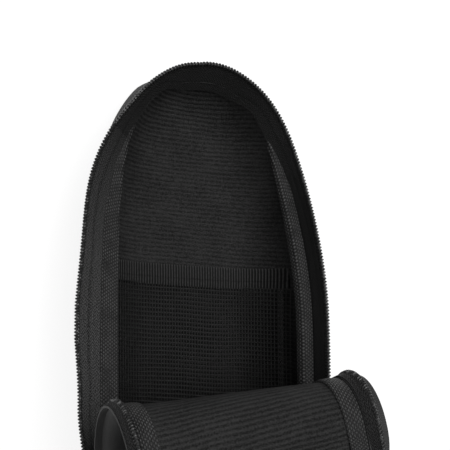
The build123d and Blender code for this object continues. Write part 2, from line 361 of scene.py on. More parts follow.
def rolled(point):
    """Carries a point of the closed lid to where it lies when the lid is rolled down."""
    u, v, depth = point.dot(FOLD_AXIS), point.dot(ACROSS_FOLD), DEPTH - point.z
    if v <= ROLL_START:
        return point.copy()
    if v >= ROLL_END:
        v, z = ROLL_START - (v - ROLL_END), ROLL_Z + ROLL_RADIUS + depth
    else:
        turn = math.pi * (v - ROLL_START) / (ROLL_END - ROLL_START) - math.pi / 2
        v = ROLL_START + (ROLL_RADIUS + depth) * math.cos(turn)
        z = ROLL_Z + (ROLL_RADIUS + depth) * math.sin(turn)
    return FOLD_AXIS * u + ACROSS_FOLD * v + Vector((0, 0, z))


def same(point):
    """For pieces that aren't on the lid."""
    return point


def crease(k):
    """Where the outer face of the roll stands half-way along board k, in metres."""
    middle = Vector((0, 0, DEPTH)) + ACROSS_FOLD * (ROLL_START + k * PITCH)
    return rolled(middle) * MM


def side_at(v, inset, side):
    """The point of the outline at one inset on the line of equal v, found in a few rounds."""
    x = side * (HALF_WIDTH - inset)
    for _ in range(8):
        y = (v + x * FOLD_AXIS.y) / FOLD_AXIS.x
        share = max(0.0, (y - ARCH_Y) / (ARCH_LENGTH - inset))
        x = side * (HALF_WIDTH - inset) * max(0.0, 1 - share ** ARCH_POWER) ** (1 / ARCH_POWER)
    return Vector((x, y, 0))


print("roll from", round(ROLL_START, 2), "to", round(ROLL_END, 2), "radius", round(ROLL_RADIUS, 2))

# %% [markdown]
# ## Node maths
# A weave is a formula of two directions, along and across the cloth. Wiring it by hand takes
# dozens of nodes. A small class turns node maths into ordinary arithmetic instead, so a weave
# reads like its formula.

# %% A socket that behaves like a number
def add_node(tree, kind, settings=None, sockets=None):
    """A new node: its settings are set first, then the values or links of its sockets."""
    node = tree.nodes.new(kind)
    for key, value in (settings or {}).items():
        setattr(node, key, value)
    for key, item in (sockets or {}).items():
        plug(tree, node.inputs[key], item)
    return node


def plug(tree, slot, item):
    item = getattr(item, "socket", item)
    if isinstance(item, bpy.types.NodeSocket):
        tree.links.new(item, slot)
    else:
        slot.default_value = item


class Value:
    """A number socket that can be added to, multiplied and so on, like a number."""

    def __init__(self, tree, socket):
        self.tree, self.socket = tree, socket

    def math(self, operation, *others, flipped=False):
        """A Math node. If flipped, this value comes after the other one."""
        items = (*others, self) if flipped else (self, *others)
        node = add_node(self.tree, "ShaderNodeMath", {"operation": operation},
                        dict(enumerate(items)))
        return Value(self.tree, node.outputs[0])

    def __add__(self, other):
        return self.math("ADD", other)

    def __radd__(self, other):
        return self.math("ADD", other, flipped=True)

    def __sub__(self, other):
        return self.math("SUBTRACT", other)

    def __rsub__(self, other):
        return self.math("SUBTRACT", other, flipped=True)

    def __mul__(self, other):
        return self.math("MULTIPLY", other)

    def __rmul__(self, other):
        return self.math("MULTIPLY", other, flipped=True)

    def __truediv__(self, other):
        return self.math("DIVIDE", other)

    def __rtruediv__(self, other):
        return self.math("DIVIDE", other, flipped=True)

    def wave(self, pitch):
        """1 on the middle of each thread and 0 between two threads."""
        return (self * (2 * math.pi / pitch)).math("COSINE") * 0.5 + 0.5

    def fraction(self):
        return self.math("FRACT")

    def whole(self):
        return self.math("FLOOR")

    def absolute(self):
        return self.math("ABSOLUTE")

    def zigzag(self):
        """1 at each whole number and 0 half-way between two."""
        return (self.fraction() - 0.5).absolute() * 2

    def held(self):
        """Kept from 0 to 1."""
        return self.math("MINIMUM", 1.0).math("MAXIMUM", 0.0)


print("a value can", [name for name in vars(Value) if not name.startswith("_")])

# %% [markdown]
# ## A cloth material
# Real cloth shows its weave twice: as colour, where the threads catch light or have worn pale,
# and as relief. This class reads the unrolled cloth's two directions from the UV map. It then
# has one method for each of the things that a weave changes.

# %% Cloth
class Cloth:
    """A material that is filled in with formulas of the cloth's own two directions."""

    def __init__(self, name, base, roughness):
        self.material = bpy.data.materials.new(name)
        self.material.use_nodes = True
        self.tree = self.material.node_tree
        self.shader = self.tree.nodes["Principled BSDF"]
        self.feed("Base Color", (*base, 1))
        self.feed("Roughness", roughness)
        self.uv = add_node(self.tree, "ShaderNodeUVMap", {"uv_map": "cloth"}).outputs[0]
        parts = add_node(self.tree, "ShaderNodeSeparateXYZ", sockets={"Vector": self.uv})
        self.x, self.y = (Value(self.tree, socket) for socket in parts.outputs[:2])

    def feed(self, socket, item):
        """Gives the shader a value or a link."""
        plug(self.tree, self.shader.inputs[socket], item)

    def noise(self, scale, detail=2.0, stretch=(1, 1, 1)):
        """Even noise over the cloth, with scale in cells per metre."""
        mapping = add_node(self.tree, "ShaderNodeMapping",
                           sockets={"Vector": self.uv, "Scale": stretch})
        texture = add_node(self.tree, "ShaderNodeTexNoise", sockets={
            "Vector": mapping.outputs[0], "Scale": scale, "Detail": detail})
        return Value(self.tree, texture.outputs[0])

    def colour(self, amount, dark, light):
        """Blends two greys by a value from 0 to 1."""
        mix = add_node(self.tree, "ShaderNodeMix", {"data_type": "RGBA"},
                       {0: amount, 6: (*grey(dark), 1), 7: (*grey(light), 1)})
        self.feed("Base Color", mix.outputs[2])

    def relief(self, height, distance, strength=0.8):
        """Bumps the surface by a height from 0 to 1 times a distance in metres."""
        bump = add_node(self.tree, "ShaderNodeBump", sockets={
            "Height": height, "Distance": distance, "Strength": strength})
        self.feed("Normal", bump.outputs[0])

    def shine(self, level):
        self.feed("Specular IOR Level", level)
        return self.material


def grey(value):
    return value, value, value


print("a cloth can", [name for name in vars(Cloth) if not name.startswith("_")])

# %% [markdown]
# ## Nylon and ribbed lining
# The outside is a plain weave: warp and weft swap over at each thread. The lining is a brushed
# rib knit, whose rows wander a little because the cloth was stretched over a form. An image of
# cloth would repeat. Noise in several sizes, for fibres, tufts and patches, doesn't.

# %% Nylon and lining
THREAD = 0.0009
RIB, RIB_WANDER, SHADE_EDGE = 0.00235, 0.0022, 0.004


def make_nylon():
    cloth = Cloth("nylon", grey(0.016), 0.7)
    warp, weft = cloth.x.wave(THREAD), cloth.y.wave(THREAD)
    weave = warp * weft + (1 - warp) * (1 - weft)
    worn = cloth.noise(90, 4)
    cloth.colour(weave * 0.6 + worn * 0.4, 0.014, 0.05)
    cloth.relief(weave, 0.00012, 0.6)
    return cloth.shine(0.3)


def make_lining(name, lean, dark, light, rib, shade_below=None):
    """Ribs that lean off the cloth's x direction, with painted shade below one height if that is
    given.
    """
    cloth = Cloth(name, grey(0.018), 0.7)
    wander = (cloth.noise(45, 3) - 0.5) * RIB_WANDER
    across = cloth.y + cloth.x * lean + wander
    ribs = across.wave(RIB)
    fibres = cloth.noise(1500, 3, (0.75, 1, 1))
    tufts = cloth.noise(380, 3)
    patches = cloth.noise(50, 2)
    amount = (ribs - 0.5) * rib + fibres * 2.4 + tufts * 0.8 + patches * 0.7 - 1.5
    if shade_below is not None:
        # Painted shade: the lining below that height, under the pocket net, is darkened for the
        # net's shadow.
        amount = amount - ((shade_below - across) / SHADE_EDGE).held() * 0.3
    cloth.colour(amount.held(), dark, light)
    cloth.relief(ribs * 0.6 + fibres * 1.2 + tufts * 0.4, 0.0006)
    return cloth.shine(0.15)


NYLON = make_nylon()
# The body's lining gets painted shade under the pocket net.
LINING = make_lining("ribbed_lining", 0.09, 0.006, 0.041, 0.36, shade_below=0.038)
LID_LINING = make_lining("lid_lining", 0.0, 0.007, 0.036, 0.6)
print("nodes in the lining", len(LINING.node_tree.nodes))

# %% [markdown]
# ## Binding and elastic
# The binding is a ribbon with rows of small raised diamonds, each row half a diamond on from the
# last. Two zigzags, one along and one across, add up to a diamond wherever both are low. The
# elastic is all short ribs, with one crease where it was stitched down.

# %% Ribbons
DIAMOND_LENGTH, DIAMOND_WIDTH = 0.002, 0.00115
ELASTIC_RIB, ELASTIC_CREASE, CREASE_WIDTH, ELASTIC_EDGE = 0.0015, 0.0040, 0.0007, 0.0103


def make_binding():
    cloth = Cloth("binding", grey(0.02), 0.55)
    along, across = cloth.x / DIAMOND_LENGTH, cloth.y / DIAMOND_WIDTH
    shifted = along + across.whole() * 0.5
    diamonds = (1.0 - shifted.zigzag() - across.zigzag() * 0.85).held()
    fibres, worn = cloth.noise(1800, 2), cloth.noise(140, 3)
    cloth.colour((diamonds * (worn * 4.2 - 0.5) + fibres * 1.2 - 0.6).held(), 0.010, 0.098)
    cloth.relief(diamonds + fibres * 0.4, 0.001)
    return cloth.shine(0.2)


def make_elastic():
    cloth = Cloth("elastic", grey(0.016), 0.7)
    ribs = cloth.x.wave(ELASTIC_RIB)
    crease_line = (1 - (cloth.y - ELASTIC_CREASE).absolute() / CREASE_WIDTH).held()
    fibres = cloth.noise(1600, 3, (1, 0.5, 1))
    edge = ((cloth.y - ELASTIC_EDGE) * 900).held()
    # The crease is painted darker, as shade in the fold.
    amount = ribs * 1.4 + fibres * 1.4 - crease_line * 0.2 + edge * 0.5 - 1.2
    cloth.colour(amount.held(), 0.002, 0.042)
    cloth.relief(ribs * 0.7 + fibres * 0.3 - crease_line * 0.5, 0.0005)
    return cloth.shine(0.2)


BINDING, ELASTIC = make_binding(), make_elastic()
print("nodes in the binding", len(BINDING.node_tree.nodes))

# %% [markdown]
# ## Zipper tape
# The tape is a herringbone twill: its slanted lines turn back at every lane. A seam runs along
# it, which is a shallow furrow with a zigzag of stitches in it. On the left, where hands have
# pulled the tape open, a paler copy of the tape paints the light that the loose tape catches
# and lets through, and that painted light comes in gradually.

# %% Tape
LANE, LANE_SLANT, TWILL = 0.0021, 0.0018, 0.0017
SEAM, SEAM_DRIFT, FURROW = 0.0062, 0.0022, 0.0011
STITCH, STITCH_SWING, STITCH_THICK = 0.0026, 0.0009, 0.00035
LIT_OVER = 0.07
LOOSE_BELOW, TAPE_INSET = 118, 0.8


def make_tape(name, dark, light, lit_from=None):
    cloth = Cloth(name, grey(dark), 0.55)
    slant = (cloth.y / LANE).zigzag() * LANE_SLANT
    twill = (cloth.x + slant).wave(TWILL)
    seam = cloth.y - SEAM + (cloth.noise(35, 2) - 0.5) * SEAM_DRIFT
    swing = ((cloth.x / STITCH).zigzag() - 0.5) * STITCH_SWING
    stitch = (1 - (seam + swing).absolute() / STITCH_THICK).held()
    furrow = (1 - seam.absolute() / FURROW).held()
    fibres = cloth.noise(1500, 3)
    # The furrow is painted darker as well, as shade in the groove.
    amount = (twill * 0.38 + fibres * 1.8 + stitch * 0.26 - furrow * 0.26 - 0.76).held()
    # Painted light: the loose tape is painted paler for the light it catches and lets through,
    # ramped in from where it comes loose.
    if lit_from is not None:
        amount = amount * (((cloth.x - lit_from) / LIT_OVER).held() * 0.6 + 0.4)
    cloth.colour(amount, dark, light)
    cloth.relief(twill * 0.6 + stitch * 0.5 + fibres * 0.6 - furrow * 0.5, 0.0008)
    return cloth.shine(0.1)


LOOSE_S = next(s for s, section, share in SAMPLES
               if section == 1 and share > 0.5 and plan(1, share, TAPE_INSET)[1] < LOOSE_BELOW)
TAPE = make_tape("tape", 0.006, 0.045)
# A paler copy of the tape, with painted light, for the loose side.
LOOSE_TAPE = make_tape("tape_with_painted_light", 0.01, 0.14, LOOSE_S * MM)
print("the left tape comes loose", round(LOOSE_S, 1), "mm round the rim")

# %% [markdown]
# ## Plain materials
# The zipper's spiral and the net are extruded nylon, and the sliders are painted zinc. They have
# no weave, so a colour, a roughness and a little shine are all they need.

# %% Coil, net and metal
def make_plain(name, base, roughness, **constants):
    material = bpy.data.materials.new(name)
    material.use_nodes = True
    shader = material.node_tree.nodes["Principled BSDF"]
    shader.inputs["Base Color"].default_value = (*base, 1)
    shader.inputs["Roughness"].default_value = roughness
    for key, item in constants.items():
        shader.inputs[key.replace("_", " ")].default_value = item
    return material


COIL = make_plain("coil", grey(0.022), 0.3, Specular_IOR_Level=0.5)
NET = make_plain("mesh", grey(0.011), 0.35, Specular_IOR_Level=0.25)
METAL = make_plain("slider", grey(0.05), 0.35, Metallic=0.85)
print("materials", len(bpy.data.materials))

# %% [markdown]
# ## Strips that follow the rim
# Binding, hem and heel band are all cut as long strips and sewn round the case. Each is one
# cross-section swept round the outline, or along one side of the roll. A curve with a bevel
# would do for a round cord, but here the section changes on the way, so the mesh is written out.
# The section is a closed loop, which gives each strip a real thickness.

# %% Swept strips
def linked(name, vertices, faces):
    """A new object from points and faces."""
    mesh = bpy.data.meshes.new(name)
    mesh.from_pydata(vertices, [], faces)
    obj = bpy.data.objects.new(name, mesh)
    bpy.context.collection.objects.link(obj)
    return obj


def end_caps(first, last, around):
    return [tuple(first + k for k in reversed(range(around))),
            tuple(last + k for k in range(around))]


def strip(name, spots, section, mapping=same, closed_ring=False):
    """Sweeps section(spot), a loop of (inset, z, across), along the spots."""
    loops = [section(spot) for spot in spots]
    count, around = len(spots), len(loops[0])
    vertices, faces, cloth = [], [], []
    for spot, loop in zip(spots, loops):
        for inset, z, across in loop:
            plane = spot["at"](inset)
            vertices.append(mapping(Vector((plane.x, plane.y, z))) * MM)
            cloth.append((spot["along"] * MM, across * MM))
    for i in range(count if closed_ring else count - 1):
        here, ahead = i * around, (i + 1) % count * around
        for j in range(around):
            k = (j + 1) % around
            faces.append((here + j, here + k, ahead + k, ahead + j))
    if not closed_ring:
        faces += end_caps(0, (count - 1) * around, around)
    obj = linked(name, vertices, faces)
    layer = obj.data.uv_layers.new(name="cloth")
    for polygon in obj.data.polygons:
        wraps = closed_ring and min(polygon.vertices) < around and (
            max(polygon.vertices) >= (count - 1) * around)
        for index in polygon.loop_indices:
            vertex = obj.data.loops[index].vertex_index
            along, across = cloth[vertex]
            if wraps and vertex < around:
                along += ROUND * MM
            layer.data[index].uv = (along, across)
    return face_out(obj)


print("a closed end has two caps", len(end_caps(0, 4, 4)))

# %% [markdown]
# ## Stations and sections
# A strip needs to know where it runs and what its section is. A station gives a place on the
# rim at any inset, how far along the cloth that is, and which way is outward. The commonest
# section is a ribbon with a flat back and a rounded face.

# %% Spots along the rim
def rim_spots(start, end, step):
    """Spots along the rim from one arc length to another."""
    count = max(2, round((end - start) / step))
    lengths = [start + (end - start) * i / count for i in range(count + 1)]
    return [{"at": (lambda inset, s=s: rim(s, inset)[0]), "along": s, "out": rim(s)[1]}
            for s in lengths]


def fold_spots(low, high, side, count):
    """Spots on one side of the roll, on lines parallel to the folds."""
    lines = [low + (high - low) * i / count for i in range(count + 1)]
    return [{"at": (lambda inset, v=v: side_at(v, inset, side)), "along": v,
             "out": Vector((side, 0, 0))} for v in lines]


def crowned(low, high, base, top, roll=0.6, steps=6):
    """A flat-backed section with a rounded face, between two insets, as (inset, z, across)."""
    up = 1 if top > base else -1
    loop = []
    for i in range(steps + 1):
        t = i / steps
        fall = roll * abs(2 * t - 1) ** 3
        loop.append((low + (high - low) * t, top - up * fall, (high - low) * t))
    return loop + [(high, base, high - low), (low, base, 0.0)]


print("points in a ribbon's section", len(crowned(0, 1, 0, 1)))

# %% [markdown]
# ## Threads
# The net and the zipper's spiral are both thin round monofilament. Each thread is a tube along a
# list of points. Its cross-section is carried along without twisting, because a frame taken
# afresh at every point would spin where the thread is nearly straight.

# %% Round threads
CORD_RADIUS = 0.75


def tubes(name, lines, radius, sides, cord=None):
    """Threads along lists of points in mm, all in one mesh, with a thicker cord if given."""
    vertices, faces = [], []
    for line, thick in [(line, radius) for line in lines] + ([(cord, CORD_RADIUS)] if cord else []):
        first = len(vertices)
        normal = None
        for i, point in enumerate(line):
            ahead = (line[min(i + 1, len(line) - 1)] - line[max(i - 1, 0)]).normalized()
            if normal is None:
                normal = ahead.orthogonal().normalized()
            normal = (normal - ahead * normal.dot(ahead)).normalized()
            side = ahead.cross(normal)
            for k in range(sides):
                a = 2 * math.pi * k / sides
                vertices.append((point + (normal * math.cos(a) + side * math.sin(a)) * thick) * MM)
        for i in range(len(line) - 1):
            for k in range(sides):
                a, b = first + i * sides + k, first + i * sides + (k + 1) % sides
                faces.append((a, b, b + sides, a + sides))
        faces += end_caps(first, first + (len(line) - 1) * sides, sides)
    return face_out(linked(name, vertices, faces))


print("cord inside the coil", 2 * CORD_RADIUS, "mm thick")

# %% [markdown]
# ## The zipper's coil
# A coil zipper has no separate teeth: one nylon thread is wound into a flattened spiral round a
# cord, and each turn is a tooth. An array of copied teeth would be lighter, but wouldn't bend
# with the tape, so the spiral is drawn as a helix that follows any line.

# %% Coils
TOOTH_PITCH = 1.75
COIL_TALL, COIL_WIDE = 0.85, 1.2
FILAMENT = 0.46
POINTS_PER_TURN = 10


def coil_line(spots, place, mapping):
    """The spiral. place(spot) gives its centre and the direction across the tape."""
    centres = []
    for spot in spots:
        centre, toward = place(spot)
        tip = mapping(centre + toward)
        centres.append((mapping(centre), (tip - mapping(centre)).normalized()))
    points = []
    travelled = 0.0
    for (a, da), (b, db) in zip(centres, centres[1:]):
        length = (b - a).length
        ahead = (b - a).normalized()
        steps = max(1, round(length / TOOTH_PITCH * POINTS_PER_TURN))
        for i in range(steps):
            t = i / steps
            turn = 2 * math.pi * (travelled + length * t) / TOOTH_PITCH
            toward = da.lerp(db, t).normalized()
            up = ahead.cross(toward).normalized()
            across = toward * COIL_WIDE * math.cos(turn)
            points.append(a.lerp(b, t) + across + up * COIL_TALL * math.sin(turn))
        travelled += length
    return points


def make_coil(name, spots, place, mapping=same):
    cord = [mapping(place(spot)[0]) for spot in spots]
    return tubes(name, [coil_line(spots, place, mapping)], FILAMENT, 5, cord)


print("teeth in 100 mm", round(100 / TOOTH_PITCH))

# %% [markdown]
# ## Profiles of the two halves
# Each half is a tray that was pressed over a form, so its wall runs into its face through a
# round corner. A profile is that line from the rim to the flat. It also returns how much cloth
# is left until the flat begins, which is what unrolls the cloth for the UV map.

# %% Profiles
INNER_RADIUS = 34.0


def body_profile(depth, radius, y, t):
    """Inset, height and cloth left before the flat back, from the rim (0) to the back (1)."""
    middle = depth + radius
    wall = body_edge(y) - middle
    corner = radius * math.pi / 2
    run = (wall + corner) * t
    if run < wall:
        return depth, body_edge(y) - run, wall + corner - run
    a = (run - wall) / radius
    return middle - radius * math.cos(a), middle - radius * math.sin(a), wall + corner - run


def lid_profile(depth, y, t):
    """The same for the lid: from its edge (0) to its flat face (1)."""
    radius, low = FRONT_RADIUS - depth, DEPTH - FRONT_RADIUS
    wall = max(0.0, low - lid_edge(y))
    arc = math.acos(min(1.0, max(0.0, (lid_edge(y) - low) / radius)))
    run = (wall + radius * arc) * t
    rest = wall + radius * arc - run
    if run < wall:
        return depth, lid_edge(y) + run, rest
    a = arc - (run - wall) / radius
    return FRONT_RADIUS - radius * math.sin(a), low + radius * math.cos(a), rest


def floor_height(inset):
    """Height of the lining's face inside the body, at a distance in from the outside."""
    middle = WALL + INNER_RADIUS
    if inset >= middle:
        return WALL
    return middle - math.sqrt(max(0.0, INNER_RADIUS ** 2 - (middle - inset) ** 2))


print("lining 10 mm inside the wall lies", round(floor_height(WALL + 10), 1), "mm up")

# %% [markdown]
# ## The deep half of the case
# Foam board and cloth are moulded together over a form. The outside and the ribbed lining are
# two skins of one bowl, each swept from the rim down the wall and in to the middle of the back.
# The outside has a shallow hollow beside the arch. The foam between is never seen, so it isn't
# made again.

# %% Cover and lining of the body
SIDE_COLUMNS, HEEL_COLUMNS, BOWL_ROWS = 180, 60, 30
WALL_ROWS = 0.6
BACK_LINE = 105
SHOULDER = 3.6
FOAM_WAVE = 0.028
INSIDE = (0, 0, 60)


def dent(x, y, size):
    """A soft unevenness in mm, for cloth over foam."""
    return noise.noise(Vector((x * FOAM_WAVE, y * FOAM_WAVE, 3.7))) * size


def bowl(name, depth, radius, uneven):
    columns = SIDE_COLUMNS + HEEL_COLUMNS

    def along(i):
        if i <= SIDE_COLUMNS:
            return HEEL_START * i / SIDE_COLUMNS
        return HEEL_START + (ROUND - HEEL_START) * (i - SIDE_COLUMNS) / HEEL_COLUMNS

    def place(u, v):
        s = along(round(u * columns))
        flat, out = rim(s, depth + radius)
        if v >= WALL_ROWS:
            middle = Vector((0, min(max(flat.y, -BACK_LINE), BACK_LINE), 0))
            point = flat.lerp(middle, (v - WALL_ROWS) / (1 - WALL_ROWS))
            lift = max(-0.3, dent(point.x, point.y, uneven))
            return (point.x, point.y, depth + lift), (point.x, point.y)
        inset, z, rest = body_profile(depth, radius, rim(s)[0].y, v / WALL_ROWS)
        point = rim(s, inset)[0]
        bump = dent(point.x + z, point.y, uneven) * min(1, v * 6)
        if depth == 0:
            shoulder = smooth((out.y - 0.15) / 0.3) * smooth((0.95 - out.y) / 0.25)
            bump -= SHOULDER * shoulder * math.sin(math.pi * v / WALL_ROWS) ** 1.5
        climb = rest - (flat - point).length
        return (point.x - out.x * bump, point.y - out.y * bump, z), (
            point.x + out.x * climb, point.y + 0.3 * climb * out.y ** 3)

    return grid_piece(name, columns, BOWL_ROWS, place)


def thicken(obj, thickness):
    """Solidify away from the inside if thickness is positive, towards it if negative."""
    centre = Vector(INSIDE) * MM
    facing = sum(p.normal.dot(p.center - centre) * p.area for p in obj.data.polygons)
    sign = 1 if (facing > 0) == (thickness > 0) else -1
    apply(obj, "SOLIDIFY", thickness=abs(thickness) * MM, offset=sign, use_even_offset=False)
    return face_out(obj)


cover = thicken(bowl("shell_cover", 0.0, BACK_RADIUS, 0.0), -0.9)
finish_piece(cover, NYLON, "nylon", "body", "body_cover", "body_core")
lining = thicken(bowl("shell_lining", WALL, INNER_RADIUS, 0.5), 1.3)
finish_piece(lining, LINING, "ribbed_lining", "body", "body_lining")
print("shell", len(cover.data.polygons), "lining", len(lining.data.polygons))

# %% [markdown]
# ## Binding round the opening
# A woven ribbon hides the raw edge where cover and lining meet. Along the sides it lies flat on
# the wall. Round the arch it is narrower and turned down inside the lining, so its section is
# bent by an angle that grows as the rim comes round.

# %% Binding of the body
BINDING_WIDTH, BINDING_THICK, BINDING_INSET = 9.5, 1.5, 1.6
ARCH_NARROWING = 4.6
FLAT_PART = 7.3
TURNED_DOWN = math.radians(86)
BEND_RADIUS = 1.5


def bent(run, lift, start, tip):
    """A point on a strip that lies flat up to start and is then turned down by an angle."""
    turn = min(tip, max(0.0, run - start) / BEND_RADIUS)
    rest = max(0.0, run - start - BEND_RADIUS * tip)
    inset = min(run, start) + BEND_RADIUS * math.sin(turn) + rest * math.cos(tip)
    drop = BEND_RADIUS * (1 - math.cos(turn)) + rest * math.sin(tip)
    return inset + lift * math.sin(turn), lift * math.cos(turn) - drop


def shell_binding_section(spot):
    """Flat on the wall along the sides, and turned down inside the lining round the arch."""
    out, edge = spot["out"], body_edge(spot["at"](0).y)
    arch = smooth(out.y / 0.5)
    share = max(arch, 0.7 * max(0.0, out.x) ** 2)
    shift = BINDING_INSET + 1.3 * max(0.0, -out.x) ** 4
    width = BINDING_WIDTH - ARCH_NARROWING * arch
    section = []
    for run, lift, across in crowned(0.0, width, 0.0, BINDING_THICK, steps=12):
        inset, z = bent(run, lift, BINDING_WIDTH - FLAT_PART * share, TURNED_DOWN * share)
        section.append((shift + inset, edge + z, across))
    return section


ring = rim_spots(0, ROUND, 3.0)[:-1]
binding = strip("shell_binding", ring, shell_binding_section, closed_ring=True)
finish_piece(binding, BINDING, "binding", "body", "body_binding")
print("binding", len(binding.data.polygons))

# %% [markdown]
# ## Heel band and the ends of the zipper
# Behind the zipper's two ends a band of nylon joins the fixed front to the body, so the case
# can't open all the way round. At each end of the band a tab of the same cloth closes the slot
# behind the parked slider. Both are plain strips, because neither has to move.

# %% Heel band and tabs
HEEL_BAND_THICK = 1.2
TAB_LENGTH, TAB_THICK = 16.0, 1.0
TAB_LOW, TAB_HIGH = BODY_EDGE + 0.4, LID_EDGE - 0.4
TAB_BACK, TAB_ROOM = 1.1, 3.5


def heel_section(spot):
    return [(0.05, BODY_EDGE, 0), (0.0, 55, 8.5), (0.05, LID_EDGE, 17.5),
            (HEEL_BAND_THICK, LID_EDGE, 18.7), (HEEL_BAND_THICK, BODY_EDGE, 36)]


def tab_section(spot):
    """Sewn to the heel band at its end, and set back from there on to leave room."""
    back = TAB_BACK + TAB_ROOM * smooth((spot["at"](0).y - HEEL_Y) / 2)
    return [(back, TAB_LOW, 0), (back, TAB_HIGH, 16.7),
            (back + TAB_THICK, TAB_HIGH, 17.7), (back + TAB_THICK, TAB_LOW, 34)]


heel_band = strip("heel_band", rim_spots(HEEL_START, ROUND, 3.0), heel_section)
finish_piece(heel_band, NYLON, "nylon", "body", "heel_gusset")
for hand, start in (("right", 0.0), ("left", HEEL_START - TAB_LENGTH)):
    tab_spots = rim_spots(start, start + TAB_LENGTH, 2.0)
    tab = strip(f"zipper_end_tab_{hand}", tab_spots, tab_section)
    finish_piece(tab, NYLON, "nylon", "body")
print("heel band", len(heel_band.data.polygons), "tab", len(tab.data.polygons))

# %% [markdown]
# ## How the body's tape stands
# A zipper tape is sewn down along its foot and free along its coil. On the right and round the
# arch it stands nearly upright. On the left it was pulled open and lies splayed, and the change
# from one to the other is gradual. Both are one formula of the rim's outward direction.

# %% Lean of the tape
TAPE_WIDTH, BINDING_LIFT = 10.5, 0.75
UPRIGHT_LEAN, LOOSE_LEAN = math.radians(65), math.radians(8)
UPRIGHT_OUT = TAPE_WIDTH * math.cos(UPRIGHT_LEAN)
LOOSE_OUT = TAPE_WIDTH * math.cos(LOOSE_LEAN)
MOST_OUT = 10.45
SWAY, GATHERED, GATHERED_FROM, GATHERED_OVER = 0.6, 4.2, -30, 40


def upright_reach(out):
    """How far the coil stands outside the foot of an upright tape."""
    return UPRIGHT_OUT * abs(out.x) ** 3 + 2.4 * abs(out.y) ** 6


def loose_reach(out):
    share = (max(0, abs(out.x) - 0.8) / 0.2) ** 2.2
    return upright_reach(out) * (1 - share) + LOOSE_OUT * share


def body_zipper(spot):
    """Foot of the tape, and the direction across it to the coil."""
    root, out = spot["at"](TAPE_INSET), spot["out"]
    reach = upright_reach(out)
    if out.x < 0:
        sway = SWAY * math.sin(root.y * 0.075 + 0.4) * abs(out.x) ** 8
        gathered = GATHERED * smooth((GATHERED_FROM - root.y) / GATHERED_OVER)
        reach = min(MOST_OUT, loose_reach(out) - gathered - 0.4 + sway)
    rise = math.sqrt(TAPE_WIDTH ** 2 - reach ** 2)
    foot = Vector((root.x, root.y, body_edge(root.y) + BINDING_LIFT))
    return foot, (out * reach + Vector((0, 0, rise))) / TAPE_WIDTH


def body_coil_at(spot):
    foot, toward = body_zipper(spot)
    return foot + toward * TAPE_WIDTH, toward


print("coil stands out", round(UPRIGHT_OUT, 1), "mm upright and", round(LOOSE_OUT, 1), "mm loose")

# %% [markdown]
# ## Tape and coil of the body
# The visible tape is wider than the strip outside the binding, because its foot is tucked under
# the edge. It is a grid between two lines, with a slight ripple towards its free edge, and is
# then thickened. The coil is wound along that free edge.

# %% Body tape and coil
TAPE_THICK = 0.7
TAPE_ROWS = 8
COIL_OVERLAP = 0.9


def tape_mesh(name, spots, ends, mapping=same, wave=0.25):
    """A cloth tape between the two points that ends(spot) gives, foot first."""
    columns = len(spots) - 1

    def place(u, v):
        spot = spots[round(u * columns)]
        low, high = ends(spot)
        along_rim = Vector((-spot["out"].y, spot["out"].x, 0))
        up = (high - low).cross(along_rim).normalized()
        ripple = noise.noise(Vector((spot["along"] * 0.045, v * 1.2, 9.1))) * wave * v
        return mapping(low.lerp(high, v) + up * ripple), (spot["along"], (high - low).length * v)

    obj = grid_piece(name, columns, TAPE_ROWS, place)
    apply(obj, "SOLIDIFY", thickness=TAPE_THICK * MM, offset=0)
    return face_out(obj)


def body_tape_ends(spot):
    """The foot is tucked in further and deeper round the arch."""
    foot, toward = body_zipper(spot)
    out = spot["out"]
    arch = smooth((out.y - 0.12) / 0.3)
    deep = smooth((out.x + 0.6) / 0.5) * smooth((out.y - 0.55) / 0.35)
    left = 2.0 * max(0.0, -out.x) ** 4 * (1 - arch)
    sunk = 1.4 * max(0.0, out.x) ** 2 * (1 - arch)
    inner = spot["at"](TAPE_INSET + left + arch * (5.8 + 3.6 * deep))
    low = Vector((inner.x, inner.y, foot.z + 0.3 - sunk - arch * (0.9 + 5.4 * deep)))
    return low, foot + toward * (TAPE_WIDTH - COIL_OVERLAP)


fixed_spots = rim_spots(0, LOOSE_S, 2.0)
loose_spots = rim_spots(LOOSE_S, HEEL_START, 2.0)
tape = tape_mesh("zip_tape", fixed_spots, body_tape_ends, wave=0.3)
finish_piece(tape, TAPE, "tape", "body", "body_tape")
coil = make_coil("zip_coil", fixed_spots, body_coil_at)
finish_piece(coil, COIL, "coil", "body", "body_coil")
loose = tape_mesh("loose_zip_tape", loose_spots, body_tape_ends, wave=0.7)
finish_piece(loose, LOOSE_TAPE, "tape", None, "loose_tape")
loose_teeth = make_coil("loose_zip_coil", loose_spots, body_coil_at)
finish_piece(loose_teeth, COIL, "coil", None, "loose_coil")
print("zipper", len(coil.data.polygons), len(loose_teeth.data.polygons))

# %% [markdown]
# ## The mesh pocket
# Open net has threads that cross in a square grid. A see-through picture on a flat sheet would
# be lighter, but looks flat from close by. Two families of thin threads are laid just above the
# lining instead, with three close ones down each side where the net is hemmed.

# %% Net
NET_Z, NET_LIFT = 9.0, 2.6
NET_BOTTOM, BAND_BOTTOM, BAND_TOP = -137.0, 35.6, 47.0
NET_INSET = 8.4
NET_ROW, NET_COLUMN, NET_HALF = 2.35, 1.6, 52.0
NET_THREAD = 0.26
SELVAGE_X, SELVAGE_GAP, SELVAGE_LENGTH = 49.2, 0.7, 158
SKEW = math.tan(math.radians(-3.3))


